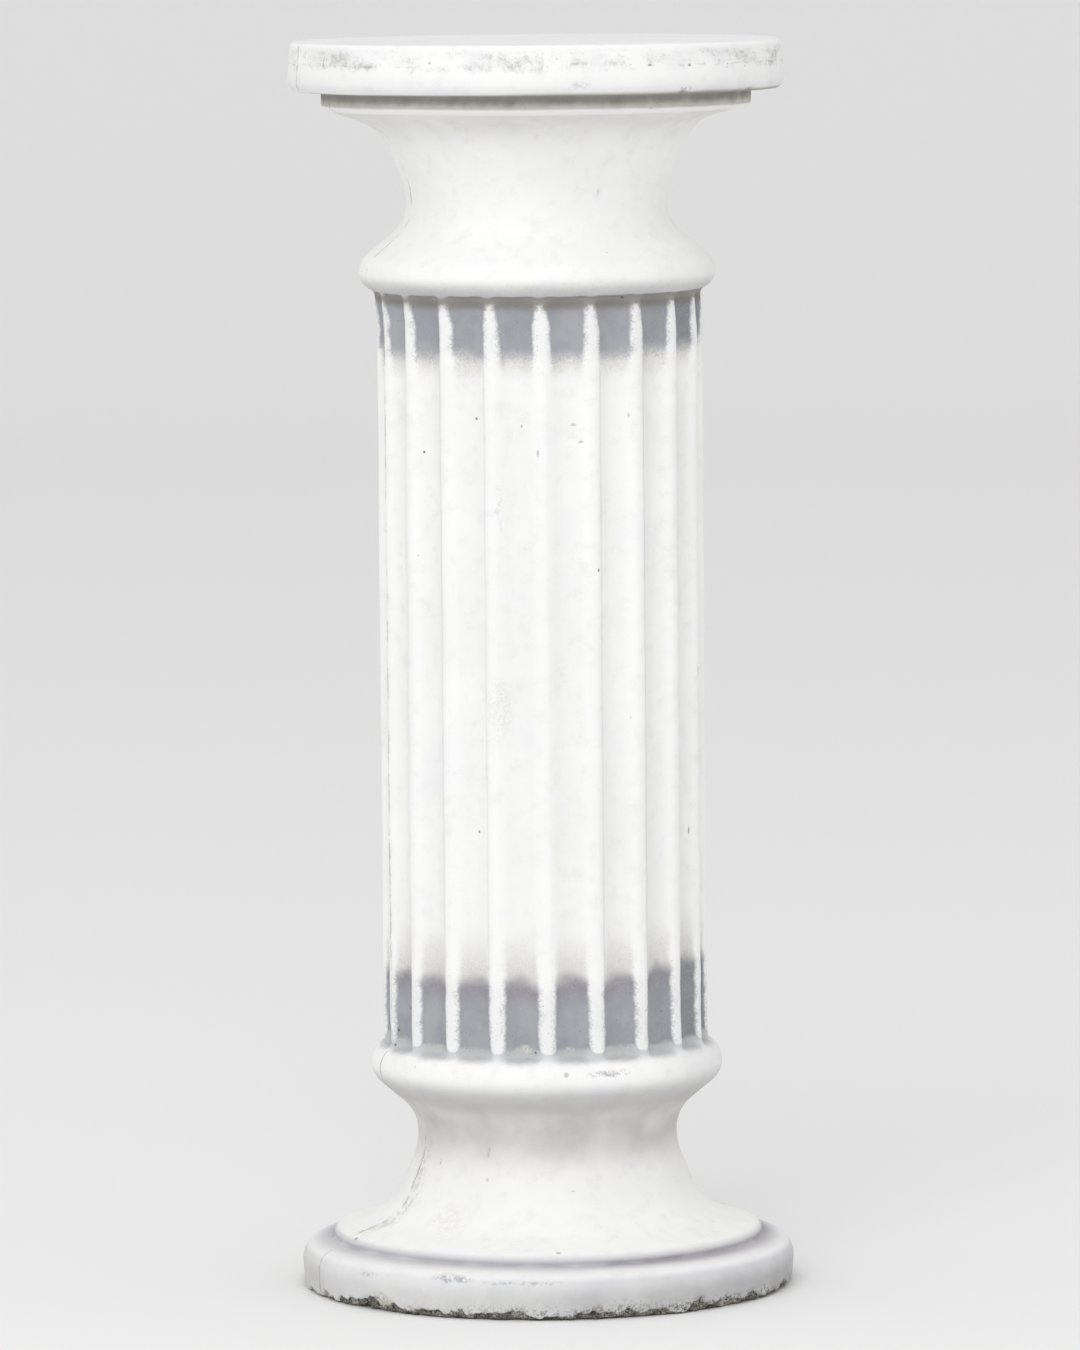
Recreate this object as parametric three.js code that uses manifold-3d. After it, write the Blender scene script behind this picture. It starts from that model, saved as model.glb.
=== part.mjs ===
// A pedestal column in painted cast stone, one casting: a fluted shaft between a capital and
// a base that are turned from nearly the same moulding. Millimetres, +Z up, centred on the
// axis, standing on the flat underside of the base at z = 0.
import * as THREE from 'three';
import { mergeVertices } from 'three/addons/utils/BufferGeometryUtils.js';
import Module from 'manifold-3d';

const columnHeight = 780;

// Each moulding is measured from its own flat face: the underside of the base, the top of the plate.
const base = {
  faceRadius: 153, faceRound: 2,
  slabRadius: 155.2, slabHeight: 28.3, slabRound: 13,
  stepRadius: 134.4, stepFoot: 31, stepHeight: 36.4, stepRound: 3,
  neckRadius: 81.2, neckStart: 87.6, neckEnd: 109.4,
  flareRound: 36, neckRound: 45, coveRound: 26.8,
  torusRadius: 110.2, torusRound: 14.3,
};
const capital = {
  faceRadius: 152.4, faceRound: 4,
  slabRadius: 155.1, slabHeight: 31, slabRound: 6.5,
  stepRadius: 133.7, stepFoot: 31, stepHeight: 41, stepRound: 2.2,
  neckRadius: 81.6, neckStart: 90.3, neckEnd: 112.7,
  flareRound: 33, neckRound: 45, coveRound: 24.7,
  torusRadius: 111.1, torusRound: 12.6,
};
const lipAngle = 17.5;
const coneAngle = 23;
const coveAngle = 50;

const shaft = {
  ribRadius: 101.5, ribRound: 4, ribAzimuth: 0.6,
  fluteCount: 20, fluteDepth: 6, fluteRadius: 16, footRound: 4.5,
};
// How far each moulding's plain core runs on inside the shaft, and how far inside the flutes.
const mouldingOverlap = 7;
const footInset = 1;

// How finely the curves are faceted.
const turnedSides = 60;
const arcDeviation = 0.4;
const pointsPerFlute = 8;
const ribCrowding = 0.065;
const weldDistance = 1e-4;

const toRadians = THREE.MathUtils.degToRad;

// One rounded corner of a profile, as points along its arc.
function cornerArc(before, corner, after, radius) {
  const inward = before.clone().sub(corner).normalize();
  const outward = after.clone().sub(corner).normalize();
  const turn = Math.PI - Math.acos(THREE.MathUtils.clamp(inward.dot(outward), -1, 1));
  if (radius === 0) return [corner];
  const reach = radius * Math.tan(turn / 2);
  const start = corner.clone().addScaledVector(inward, reach);
  const end = corner.clone().addScaledVector(outward, reach);
  const toCentre = inward.clone().add(outward).normalize();
  const centre = corner.clone().addScaledVector(toCentre, radius / Math.cos(turn / 2));
  const from = start.clone().sub(centre).angle();
  const sweep = Math.sign(start.clone().sub(centre).cross(end.clone().sub(centre))) * turn;
  const widestStep = 2 * Math.acos(1 - arcDeviation / radius);
  const pieces = Math.max(2, Math.ceil(turn / widestStep));
  const points = [];
  for (let i = 0; i <= pieces; i += 1) {
    const angle = from + sweep * i / pieces;
    points.push(new THREE.Vector2(
      centre.x + radius * Math.cos(angle),
      centre.y + radius * Math.sin(angle),
    ));
  }
  return points;
}

// A profile from its corners, each [radius, height, rounding].
function roundedProfile(corners) {
  const places = corners.map(([radius, height]) => new THREE.Vector2(radius, height));
  const last = places.length - 1;
  const points = [places[0]];
  for (let i = 1; i < last; i += 1) {
    points.push(...cornerArc(places[i - 1], places[i], places[i + 1], corners[i][2]));
  }
  points.push(places[last]);
  return points;
}

// Slab, step, flared neck and torus, then a fillet that runs up into the flutes.
function mouldingCorners(m) {
  const lipSlope = Math.tan(toRadians(lipAngle));
  const coneSlope = Math.tan(toRadians(coneAngle));
  const flareInset = (m.neckStart - m.stepHeight - (m.stepRadius - m.neckRadius) / coneSlope)
    / (lipSlope - 1 / coneSlope);
  const torusStart = m.neckEnd + (m.torusRadius - m.neckRadius) / Math.tan(toRadians(coveAngle));
  const torusMiddle = torusStart + m.torusRound * Math.tan(toRadians(coveAngle / 2));
  const footRadius = shaft.ribRadius - shaft.fluteDepth - footInset;
  // The torus's top still leans by this angle where it runs into the fillet.
  const footReach = footRadius + shaft.footRound - (m.torusRadius - m.torusRound);
  const footLean = Math.asin(footReach / (m.torusRound + shaft.footRound));
  const torusEnd = torusMiddle + m.torusRound * Math.tan(Math.PI / 4 - footLean / 2);
  const footHeight = torusEnd + (m.torusRadius - footRadius) * Math.tan(footLean);
  return [
    [0, 0, 0],
    [m.faceRadius, 0, m.faceRound],
    [m.slabRadius, m.slabHeight, m.slabRound],
    [m.stepRadius, m.stepFoot, 0],
    [m.stepRadius, m.stepHeight, m.stepRound],
    [m.stepRadius - flareInset, m.stepHeight + flareInset * lipSlope, m.flareRound],
    [m.neckRadius, m.neckStart, m.neckRound],
    [m.neckRadius, m.neckEnd, m.coveRound],
    [m.torusRadius, torusStart, m.torusRound],
    [m.torusRadius, torusEnd, m.torusRound],
    [footRadius, footHeight, shaft.footRound],
    [footRadius, footHeight + mouldingOverlap, 0],
    [0, footHeight + mouldingOverlap, 0],
  ];
}

// The height of a moulding's foot corner, where the shaft rises out of the torus.
function footCorner(m) {
  const corners = mouldingCorners(m);
  return corners[corners.length - 3][1];
}

function turn(profile) {
  const geometry = new THREE.LatheGeometry(profile, turnedSides);
  geometry.rotateX(Math.PI / 2);
  return geometry;
}

function makeBase() {
  return turn(roundedProfile(mouldingCorners(base)));
}

function makeCapital() {
  const corners = mouldingCorners(capital).map(([r, h, round]) => [r, columnHeight - h, round]);
  return turn(roundedProfile(corners.reverse()));
}

// The shaft's radius at an angle from the middle of a flute: a circular scoop, met by the
// outer cylinder in a rib with rounded corners.
function shaftRadiusAt(angle) {
  const scoopCentre = shaft.ribRadius - shaft.fluteDepth + shaft.fluteRadius;
  const side = scoopCentre * Math.sin(angle);
  if (Math.abs(side) >= shaft.fluteRadius) return shaft.ribRadius;
  const scoop = scoopCentre * Math.cos(angle) - Math.sqrt(shaft.fluteRadius ** 2 - side ** 2);
  const blend = Math.max(shaft.ribRound - Math.abs(scoop - shaft.ribRadius), 0) / shaft.ribRound;
  return Math.min(scoop, shaft.ribRadius) - blend ** 2 * shaft.ribRound / 4;
}

function makeShaft() {
  const outline = new THREE.Shape();
  const pitch = 2 * Math.PI / shaft.fluteCount;
  const firstRib = -Math.PI / 2 + toRadians(shaft.ribAzimuth);
  for (let flute = 0; flute < shaft.fluteCount; flute += 1) {
    for (let i = 0; i < pointsPerFlute; i += 1) {
      // The points crowd towards the ribs, where the curve is tight.
      const share = i / pointsPerFlute;
      const offset = pitch * (share - 0.5 - Math.sin(2 * Math.PI * share) * ribCrowding);
      const angle = firstRib + pitch * (flute + 0.5) + offset;
      const radius = shaftRadiusAt(offset);
      const point = [radius * Math.cos(angle), radius * Math.sin(angle)];
      if (flute === 0 && i === 0) outline.moveTo(...point);
      else outline.lineTo(...point);
    }
  }
  outline.closePath();
  const start = footCorner(base) - mouldingOverlap;
  const end = columnHeight - footCorner(capital) + mouldingOverlap;
  const geometry = new THREE.ExtrudeGeometry(outline, {
    depth: end - start, steps: 1, bevelEnabled: false,
  });
  geometry.translate(0, 0, start);
  return geometry;
}

const wasm = await Module();
wasm.setup();

function toManifold(geometry) {
  geometry.deleteAttribute('normal');
  geometry.deleteAttribute('uv');
  const merged = mergeVertices(geometry, weldDistance);
  return new wasm.Manifold(new wasm.Mesh({
    numProp: 3,
    vertProperties: new Float32Array(merged.attributes.position.array),
    triVerts: new Uint32Array(merged.index.array),
  }));
}

function toGeometry(solid) {
  const mesh = solid.getMesh();
  const geometry = new THREE.BufferGeometry();
  geometry.setAttribute('position', new THREE.BufferAttribute(new Float32Array(mesh.vertProperties), 3));
  geometry.setIndex(new THREE.BufferAttribute(new Uint32Array(mesh.triVerts), 1));
  geometry.computeVertexNormals();
  return geometry;
}

const casting = toManifold(makeBase()).add(toManifold(makeShaft())).add(toManifold(makeCapital()));

const paintedStone = new THREE.MeshStandardMaterial({
  color: 0xf0f0ec,
  roughness: 0.85,
  metalness: 0,
});

const column = new THREE.Mesh(toGeometry(casting), paintedStone);
column.name = 'column';

const part = new THREE.Group();
part.name = 'pedestal_column';
part.add(column);

export default part;
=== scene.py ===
# A garden pedestal in painted cast stone: flat plate, flared capital, fluted shaft, matching base.
# Sizes in the dictionaries are millimetres and degrees. The scene itself is in metres.
import math
import random

import bmesh
import bpy
import numpy as np
from mathutils import Matrix, Vector, noise


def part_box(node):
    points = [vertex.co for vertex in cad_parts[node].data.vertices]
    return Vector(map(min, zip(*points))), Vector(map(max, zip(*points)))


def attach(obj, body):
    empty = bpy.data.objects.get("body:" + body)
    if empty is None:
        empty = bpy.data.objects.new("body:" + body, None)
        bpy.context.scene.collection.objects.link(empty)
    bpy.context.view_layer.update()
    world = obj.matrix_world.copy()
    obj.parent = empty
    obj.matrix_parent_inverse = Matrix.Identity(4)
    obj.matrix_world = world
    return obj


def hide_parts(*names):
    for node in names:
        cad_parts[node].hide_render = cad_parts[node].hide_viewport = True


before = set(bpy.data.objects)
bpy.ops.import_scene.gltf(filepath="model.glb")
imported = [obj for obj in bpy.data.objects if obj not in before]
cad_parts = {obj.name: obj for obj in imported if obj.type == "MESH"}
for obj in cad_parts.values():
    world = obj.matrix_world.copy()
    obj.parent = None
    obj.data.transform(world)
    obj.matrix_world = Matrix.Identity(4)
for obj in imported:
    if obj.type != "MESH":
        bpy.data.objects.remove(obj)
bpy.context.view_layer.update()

mm = 0.001
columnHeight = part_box("column")[1].z / mm
print("column height", round(columnHeight, 2), "mm")


# Node tree helpers, for shaders and geometry alike
def feed(tree, socket, value):
    if isinstance(value, bpy.types.NodeSocket):
        tree.links.new(value, socket)
    else:
        socket.default_value = value


def addNode(tree, kind, inputs=None, **settings):
    node = tree.nodes.new(kind)
    for name, value in settings.items():
        setattr(node, name, value)
    for name, value in (inputs or {}).items():
        feed(tree, node.inputs[name], value)
    return node


def calc(tree, operation, *values, kind="ShaderNodeMath"):
    node = addNode(tree, kind, operation=operation)
    for socket, value in zip(node.inputs, values):
        feed(tree, socket, value)
    return node.outputs[0]


def calcVector(tree, operation, *values):
    return calc(tree, operation, *values, kind="ShaderNodeVectorMath")


# Camera, where the photograph was taken from
cameraView = {
    "distance": 5439.8,
    "height": 902.2,
    "lookDown": 5.451,
    "turn": -0.017,
    "roll": -0.473,
    "lens": 232.9,  # on a 36 mm frame, long side
}


def makeCamera(view):
    down, turn, roll = (math.radians(view[key]) for key in ("lookDown", "turn", "roll"))
    ahead = Vector((math.sin(turn) * math.cos(down), math.cos(turn) * math.cos(down), -math.sin(down)))
    levelRight = Vector((math.cos(turn), -math.sin(turn), 0))
    levelUp = levelRight.cross(ahead)
    right = levelRight * math.cos(roll) + levelUp * math.sin(roll)
    up = levelUp * math.cos(roll) - levelRight * math.sin(roll)
    camera = bpy.data.objects.new("Camera", bpy.data.cameras.new("Camera"))
    camera.data.lens = view["lens"]
    camera.data.sensor_width = 36
    camera.data.sensor_fit = "AUTO"
    camera.data.clip_end = 100
    turned = Matrix((right, up, -ahead)).transposed().to_4x4()
    camera.matrix_world = Matrix.Translation((0, -view["distance"] * mm, view["height"] * mm)) @ turned
    bpy.context.collection.objects.link(camera)
    bpy.context.scene.camera = camera


makeCamera(cameraView)
print("camera placed")


# Studio: a pale floor that curves up behind, one broad soft light at the front left, fill all round
studio = {
    "floorWidth": 26000,
    "floorFront": 13000,
    "floorBack": 10000,
    "sweepRadius": 2500,
    "sweepSteps": 24,
    "wallHeight": 7000,
    "floorColour": (0.86, 0.86, 0.86, 1),
    "fillColour": (1.0, 1.0, 1.0, 1),
    "fillStrength": 0.85,
    "aim": (0, 0, 420),
    "lights": {
        "Key": {"place": (-750, -3310, 2900), "size": 2800, "power": 52, "colour": (1.0, 1.0, 0.995)},
    },
}


def makeFloor(s):
    profile = [(-s["floorFront"], 0), (s["floorBack"] - s["sweepRadius"], 0)]
    for step in range(1, s["sweepSteps"] + 1):
        angle = math.pi / 2 * step / s["sweepSteps"]
        profile.append((s["floorBack"] - s["sweepRadius"] * (1 - math.sin(angle)),
                        s["sweepRadius"] * (1 - math.cos(angle))))
    profile.append((s["floorBack"], s["wallHeight"]))
    half = s["floorWidth"] / 2 * mm
    points = [(side * half, y * mm, z * mm) for y, z in profile for side in (-1, 1)]
    quads = [(2 * i, 2 * i + 1, 2 * i + 3, 2 * i + 2) for i in range(len(profile) - 1)]
    mesh = bpy.data.meshes.new("Floor")
    mesh.from_pydata(points, [], quads)
    mesh.shade_smooth()
    floor = bpy.data.objects.new("Floor", mesh)
    bpy.context.collection.objects.link(floor)
    material = bpy.data.materials.new("pale floor")
    material.use_nodes = True
    shader = material.node_tree.nodes["Principled BSDF"]
    shader.inputs["Base Color"].default_value = s["floorColour"]
    shader.inputs["Roughness"].default_value = 0.9
    mesh.materials.append(material)


def makeLights(s):
    world = bpy.data.worlds.new("soft fill")
    world.use_nodes = True
    background = world.node_tree.nodes["Background"]
    background.inputs["Color"].default_value = s["fillColour"]
    background.inputs["Strength"].default_value = s["fillStrength"]
    bpy.context.scene.world = world
    for name, given in s["lights"].items():
        light = bpy.data.objects.new(name, bpy.data.lights.new(name, "AREA"))
        light.data.size = given["size"] * mm
        light.data.energy = given["power"]
        light.data.color = given["colour"]
        light.location = Vector(given["place"]) * mm
        towards = Vector(s["aim"]) * mm - light.location
        light.rotation_euler = towards.to_track_quat("-Z", "Y").to_euler()
        bpy.context.collection.objects.link(light)


makeFloor(studio)
makeLights(studio)
bpy.context.scene.view_settings.view_transform = "Standard"
print("studio ready")


# The casting: two turned mouldings and the fluted shaft between them.
# Heights in a moulding are measured from its own flat face.
casting = {
    "base": {
        "faceRadius": 153, "faceRound": 2,
        "slabRadius": 155.2, "slabHeight": 28.3, "slabRound": 13,
        "stepRadius": 134.4, "stepFoot": 31, "stepHeight": 36.4, "stepRound": 5,
        "neckRadius": 81.2, "neckStart": 87.6, "neckEnd": 109.4,
        "flareRound": 36, "neckRound": 45, "coveRound": 26.8,
        "torusRadius": 110.2, "torusRound": 14.3,
    },
    "capital": {
        "faceRadius": 152.4, "faceRound": 4,
        "slabRadius": 155.1, "slabHeight": 31, "slabRound": 6.5,
        "stepRadius": 133.7, "stepFoot": 31, "stepHeight": 41, "stepRound": 2.2,
        "neckRadius": 81.6, "neckStart": 90.3, "neckEnd": 112.7,
        "flareRound": 33, "neckRound": 45, "coveRound": 24.7,
        "torusRadius": 111.1, "torusRound": 12.6,
    },
    "lipAngle": 17.5, "coneAngle": 23, "coveAngle": 50, "stepFootRound": 1.8,
    "ribRadius": 101.5, "fluteDepth": 6, "scoopRadius": 16, "ribRound": 4, "footRound": 4.5,
    "flutes": 20, "firstRib": 0.6,
    "columnsPerFlute": 12, "crowding": 0.085,
    "ribWaviness": 0.55, "seed": 7,
    "rowStep": 3.4, "shaftStep": 6.5, "discStep": 24, "longLine": 60, "arcTurn": 14,
}


def mouldingCorners(m, shaftRadius):
    # Corners as (radius, height, rounding), from the middle of the flat face to the shaft.
    lipSlope = math.tan(math.radians(casting["lipAngle"]))
    coneSlope = math.tan(math.radians(casting["coneAngle"]))
    coneRise = (m["stepRadius"] - m["neckRadius"]) / coneSlope
    flareInset = (m["neckStart"] - m["stepHeight"] - coneRise) / (lipSlope - 1 / coneSlope)
    coveRise = (m["torusRadius"] - m["neckRadius"]) / math.tan(math.radians(casting["coveAngle"]))
    torusStart = m["neckEnd"] + coveRise
    torusMiddle = torusStart + m["torusRound"] * math.tan(math.radians(casting["coveAngle"] / 2))
    # The fillet at the foot of the shaft runs tangent into the torus, which still leans there.
    footReach = shaftRadius + casting["footRound"] - (m["torusRadius"] - m["torusRound"])
    footLean = math.asin(footReach / (m["torusRound"] + casting["footRound"]))
    torusEnd = torusMiddle + m["torusRound"] * math.tan(math.pi / 4 - footLean / 2)
    footHeight = torusEnd + (m["torusRadius"] - shaftRadius) * math.tan(footLean)
    return [
        (0, 0, 0),
        (m["faceRadius"], 0, m["faceRound"]),
        (m["slabRadius"], m["slabHeight"], m["slabRound"]),
        (m["stepRadius"], m["stepFoot"], casting["stepFootRound"]),
        (m["stepRadius"], m["stepHeight"], m["stepRound"]),
        (m["stepRadius"] - flareInset, m["stepHeight"] + flareInset * lipSlope, m["flareRound"]),
        (m["neckRadius"], m["neckStart"], m["neckRound"]),
        (m["neckRadius"], m["neckEnd"], m["coveRound"]),
        (m["torusRadius"], torusStart, m["torusRound"]),
        (m["torusRadius"], torusEnd, m["torusRound"]),
        (shaftRadius, footHeight, casting["footRound"]),
    ]


def columnPieces(shaftRadius):
    # The whole outline, underside to top, as straight and round pieces.
    lower = mouldingCorners(casting["base"], shaftRadius)
    upper = mouldingCorners(casting["capital"], shaftRadius)
    corners = lower + [(r, columnHeight - h, rounding) for r, h, rounding in reversed(upper)]
    places = [Vector((r, h)) for r, h, rounding in corners]
    pieces = []
    lastEnd = places[0]
    for i in range(1, len(corners) - 1):
        toBefore = (places[i - 1] - places[i]).normalized()
        toAfter = (places[i + 1] - places[i]).normalized()
        turn = math.pi - toBefore.angle(toAfter)
        radius = corners[i][2]
        reach = radius * math.tan(turn / 2)
        start = places[i] + toBefore * reach
        end = places[i] + toAfter * reach
        centre = places[i] + (toBefore + toAfter).normalized() * (radius / math.cos(turn / 2))
        side = 1 if toBefore.x * toAfter.y - toBefore.y * toAfter.x < 0 else -1
        first = math.atan2(start.y - centre.y, start.x - centre.x)
        pieces.append(("line", lastEnd, start))
        pieces.append(("arc", centre, radius, first, side * turn))
        lastEnd = end
    pieces.append(("line", lastEnd, places[-1]))
    return pieces


def pieceCount(piece):
    if piece[0] == "arc":
        length = piece[2] * abs(piece[4])
        return max(2, math.ceil(length / casting["rowStep"]),
                   math.ceil(math.degrees(abs(piece[4])) / casting["arcTurn"]))
    length = (piece[2] - piece[1]).length
    if length < casting["longLine"]:
        return max(1, math.ceil(length / casting["rowStep"]))
    flat = abs(piece[2].y - piece[1].y) < casting["rowStep"]
    return math.ceil(length / casting["discStep" if flat else "shaftStep"])


def outlinePoints(pieces, counts):
    points = [pieces[0][1]]
    for piece, count in zip(pieces, counts):
        for step in range(1, count + 1):
            share = step / count
            if piece[0] == "line":
                points.append(piece[1].lerp(piece[2], share))
            else:
                angle = piece[3] + piece[4] * share
                points.append(piece[1] + Vector((math.cos(angle), math.sin(angle))) * piece[2])
    return points


def makeOutline():
    # A chain of points over a rib; floorShift is how far each one moves over the floor of a flute.
    overRib = columnPieces(casting["ribRadius"])
    counts = [pieceCount(piece) for piece in overRib]
    overFloor = columnPieces(casting["ribRadius"] - casting["fluteDepth"])
    ribPoints = outlinePoints(overRib, counts)
    floorPoints = outlinePoints(overFloor, counts)
    mesh = bpy.data.meshes.new("Outline")
    links = [(i, i + 1) for i in range(len(ribPoints) - 1)]
    mesh.from_pydata([(p.x * mm, 0, p.y * mm) for p in ribPoints], links, [])
    shift = mesh.attributes.new("floorShift", "FLOAT_VECTOR", "POINT")
    for i, (onRib, onFloor) in enumerate(zip(ribPoints, floorPoints)):
        shift.data[i].vector = ((onFloor.x - onRib.x) * mm, 0, (onFloor.y - onRib.y) * mm)
    return mesh


# The tree that turns the outline round the axis and scoops the flutes out of it
treeInputs = [
    ("Flutes", "NodeSocketInt", casting["flutes"]),
    ("Columns per Flute", "NodeSocketInt", casting["columnsPerFlute"]),
    ("Rib Radius", "NodeSocketFloat", casting["ribRadius"] * mm),
    ("Flute Depth", "NodeSocketFloat", casting["fluteDepth"] * mm),
    ("Scoop Radius", "NodeSocketFloat", casting["scoopRadius"] * mm),
    ("Rib Rounding", "NodeSocketFloat", casting["ribRound"] * mm),
    ("First Rib", "NodeSocketFloat", math.radians(casting["firstRib"] - 90)),
    ("Crowding", "NodeSocketFloat", casting["crowding"]),
    ("Rib Waviness", "NodeSocketFloat", casting["ribWaviness"] * mm),
    ("Seed", "NodeSocketInt", casting["seed"]),
]


def makeCastingTree():
    tree = bpy.data.node_groups.new("turned and fluted casting", "GeometryNodeTree")
    tree.interface.new_socket("Geometry", in_out="INPUT", socket_type="NodeSocketGeometry")
    for name, kind, value in treeInputs:
        tree.interface.new_socket(name, in_out="INPUT", socket_type=kind)
    tree.interface.new_socket("Paint", in_out="INPUT", socket_type="NodeSocketMaterial")
    tree.interface.new_socket("Geometry", in_out="OUTPUT", socket_type="NodeSocketGeometry")
    given = addNode(tree, "NodeGroupInput").outputs
    ribRadius = given["Rib Radius"]

    # A grid with one row for each outline point and one column for each angle
    outlineSize = addNode(tree, "GeometryNodeAttributeDomainSize", {"Geometry": given["Geometry"]})
    columns = calc(tree, "MULTIPLY", given["Flutes"], given["Columns per Flute"])
    across = calc(tree, "ADD", columns, 1)
    grid = addNode(tree, "GeometryNodeMeshGrid", {
        "Vertices X": outlineSize.outputs["Point Count"], "Vertices Y": across})
    index = addNode(tree, "GeometryNodeInputIndex").outputs[0]
    row = calc(tree, "FLOOR", calc(tree, "DIVIDE", calc(tree, "ADD", index, 0.5), across))
    column = calc(tree, "SUBTRACT", index, calc(tree, "MULTIPLY", row, across))

    # The angle from the middle of the flute, with the columns crowded towards the ribs
    place = calc(tree, "DIVIDE", calc(tree, "ADD", column, 0.001), given["Columns per Flute"])
    flute = calc(tree, "FLOOR", place)
    share = calc(tree, "SUBTRACT", place, flute)
    pitch = calc(tree, "DIVIDE", 2 * math.pi, given["Flutes"])
    crowd = calc(tree, "MULTIPLY", calc(tree, "SINE", calc(tree, "MULTIPLY", share, 2 * math.pi)),
                 given["Crowding"])
    fromMiddle = calc(tree, "MULTIPLY", calc(tree, "SUBTRACT", calc(tree, "SUBTRACT", share, 0.5), crowd),
                      pitch)
    middle = calc(tree, "MULTIPLY", calc(tree, "ADD", flute, 0.5), pitch)
    angle = calc(tree, "ADD", calc(tree, "ADD", middle, fromMiddle), given["First Rib"])
    cosine = calc(tree, "COSINE", angle)
    sine = calc(tree, "SINE", angle)

    # Outline point and its shift over a flute floor, read by row
    chain = given["Geometry"]
    readPlace = addNode(tree, "GeometryNodeSampleIndex", {
        "Geometry": chain, "Value": addNode(tree, "GeometryNodeInputPosition").outputs[0], "Index": row},
        data_type="FLOAT_VECTOR")
    shiftName = addNode(tree, "GeometryNodeInputNamedAttribute", {"Name": "floorShift"},
                        data_type="FLOAT_VECTOR")
    readShift = addNode(tree, "GeometryNodeSampleIndex", {
        "Geometry": chain, "Value": shiftName.outputs["Attribute"], "Index": row},
        data_type="FLOAT_VECTOR")
    outline = addNode(tree, "ShaderNodeSeparateXYZ", {"Vector": readPlace.outputs[0]})
    shift = addNode(tree, "ShaderNodeSeparateXYZ", {"Vector": readShift.outputs[0]})

    # The ribs wander a little, as hand-finished mould edges do
    onShaft = addNode(tree, "ShaderNodeCombineXYZ", {
        "X": calc(tree, "MULTIPLY", cosine, ribRadius),
        "Y": calc(tree, "MULTIPLY", sine, ribRadius),
        "Z": outline.outputs["Z"]})
    wander = addNode(tree, "ShaderNodeTexNoise", {
        "Vector": onShaft.outputs[0], "W": given["Seed"], "Scale": 95.0, "Detail": 3.0},
        noise_dimensions="4D")
    swing = calc(tree, "DIVIDE", given["Rib Waviness"], ribRadius)
    drift = calc(tree, "MULTIPLY", calc(tree, "SUBTRACT", wander.outputs[0], 0.5),
                 calc(tree, "MULTIPLY", swing, 4))
    wavy = calc(tree, "ADD", fromMiddle, drift)

    # A round scoop, met by the outer cylinder in a rib with rounded edges
    scoopCentre = calc(tree, "ADD", calc(tree, "SUBTRACT", ribRadius, given["Flute Depth"]),
                       given["Scoop Radius"])
    aside = calc(tree, "MULTIPLY", scoopCentre, calc(tree, "SINE", wavy))
    rest = calc(tree, "MAXIMUM", calc(tree, "SUBTRACT",
                calc(tree, "MULTIPLY", given["Scoop Radius"], given["Scoop Radius"]),
                calc(tree, "MULTIPLY", aside, aside)), 0)
    scoop = calc(tree, "SUBTRACT", calc(tree, "MULTIPLY", scoopCentre, calc(tree, "COSINE", wavy)),
                 calc(tree, "SQRT", rest))
    gap = calc(tree, "ABSOLUTE", calc(tree, "SUBTRACT", scoop, ribRadius))
    near = calc(tree, "DIVIDE", calc(tree, "MAXIMUM",
                calc(tree, "SUBTRACT", given["Rib Rounding"], gap), 0), given["Rib Rounding"])
    trim = calc(tree, "MULTIPLY", calc(tree, "MULTIPLY", near, near),
                calc(tree, "DIVIDE", given["Rib Rounding"], 4))
    shaftRadius = calc(tree, "SUBTRACT", calc(tree, "MINIMUM", scoop, ribRadius), trim)
    recess = calc(tree, "DIVIDE", calc(tree, "SUBTRACT", ribRadius, shaftRadius), given["Flute Depth"])

    radius = calc(tree, "ADD", outline.outputs["X"], calc(tree, "MULTIPLY", shift.outputs["X"], recess))
    height = calc(tree, "ADD", outline.outputs["Z"], calc(tree, "MULTIPLY", shift.outputs["Z"], recess))
    turned = addNode(tree, "ShaderNodeCombineXYZ", {
        "X": calc(tree, "MULTIPLY", cosine, radius), "Y": calc(tree, "MULTIPLY", sine, radius), "Z": height})
    moved = addNode(tree, "GeometryNodeSetPosition", {
        "Geometry": grid.outputs[0], "Position": turned.outputs[0]})
    fluted = calc(tree, "DIVIDE", calc(tree, "ABSOLUTE", shift.outputs["X"]), given["Flute Depth"])
    kept = addNode(tree, "GeometryNodeStoreNamedAttribute", {
        "Geometry": moved.outputs[0], "Name": "recess", "Value": calc(tree, "MULTIPLY", recess, fluted)},
        data_type="FLOAT", domain="POINT")
    fromRib = calc(tree, "MULTIPLY", calc(tree, "SUBTRACT", calc(tree, "DIVIDE", pitch, 2),
                   calc(tree, "ABSOLUTE", fromMiddle)), calc(tree, "DIVIDE", ribRadius, mm))
    named = addNode(tree, "GeometryNodeStoreNamedAttribute", {
        "Geometry": kept.outputs[0], "Name": "fromRib", "Value": fromRib}, data_type="FLOAT", domain="POINT")
    welded = addNode(tree, "GeometryNodeMergeByDistance", {"Geometry": named.outputs[0], "Distance": 0.00002})
    real = addNode(tree, "GeometryNodeRealizeInstances", {"Geometry": welded.outputs[0]})
    painted = addNode(tree, "GeometryNodeSetMaterial", {
        "Geometry": real.outputs[0], "Material": given["Paint"]})
    addNode(tree, "NodeGroupOutput", {"Geometry": painted.outputs[0]})
    return tree


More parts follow.
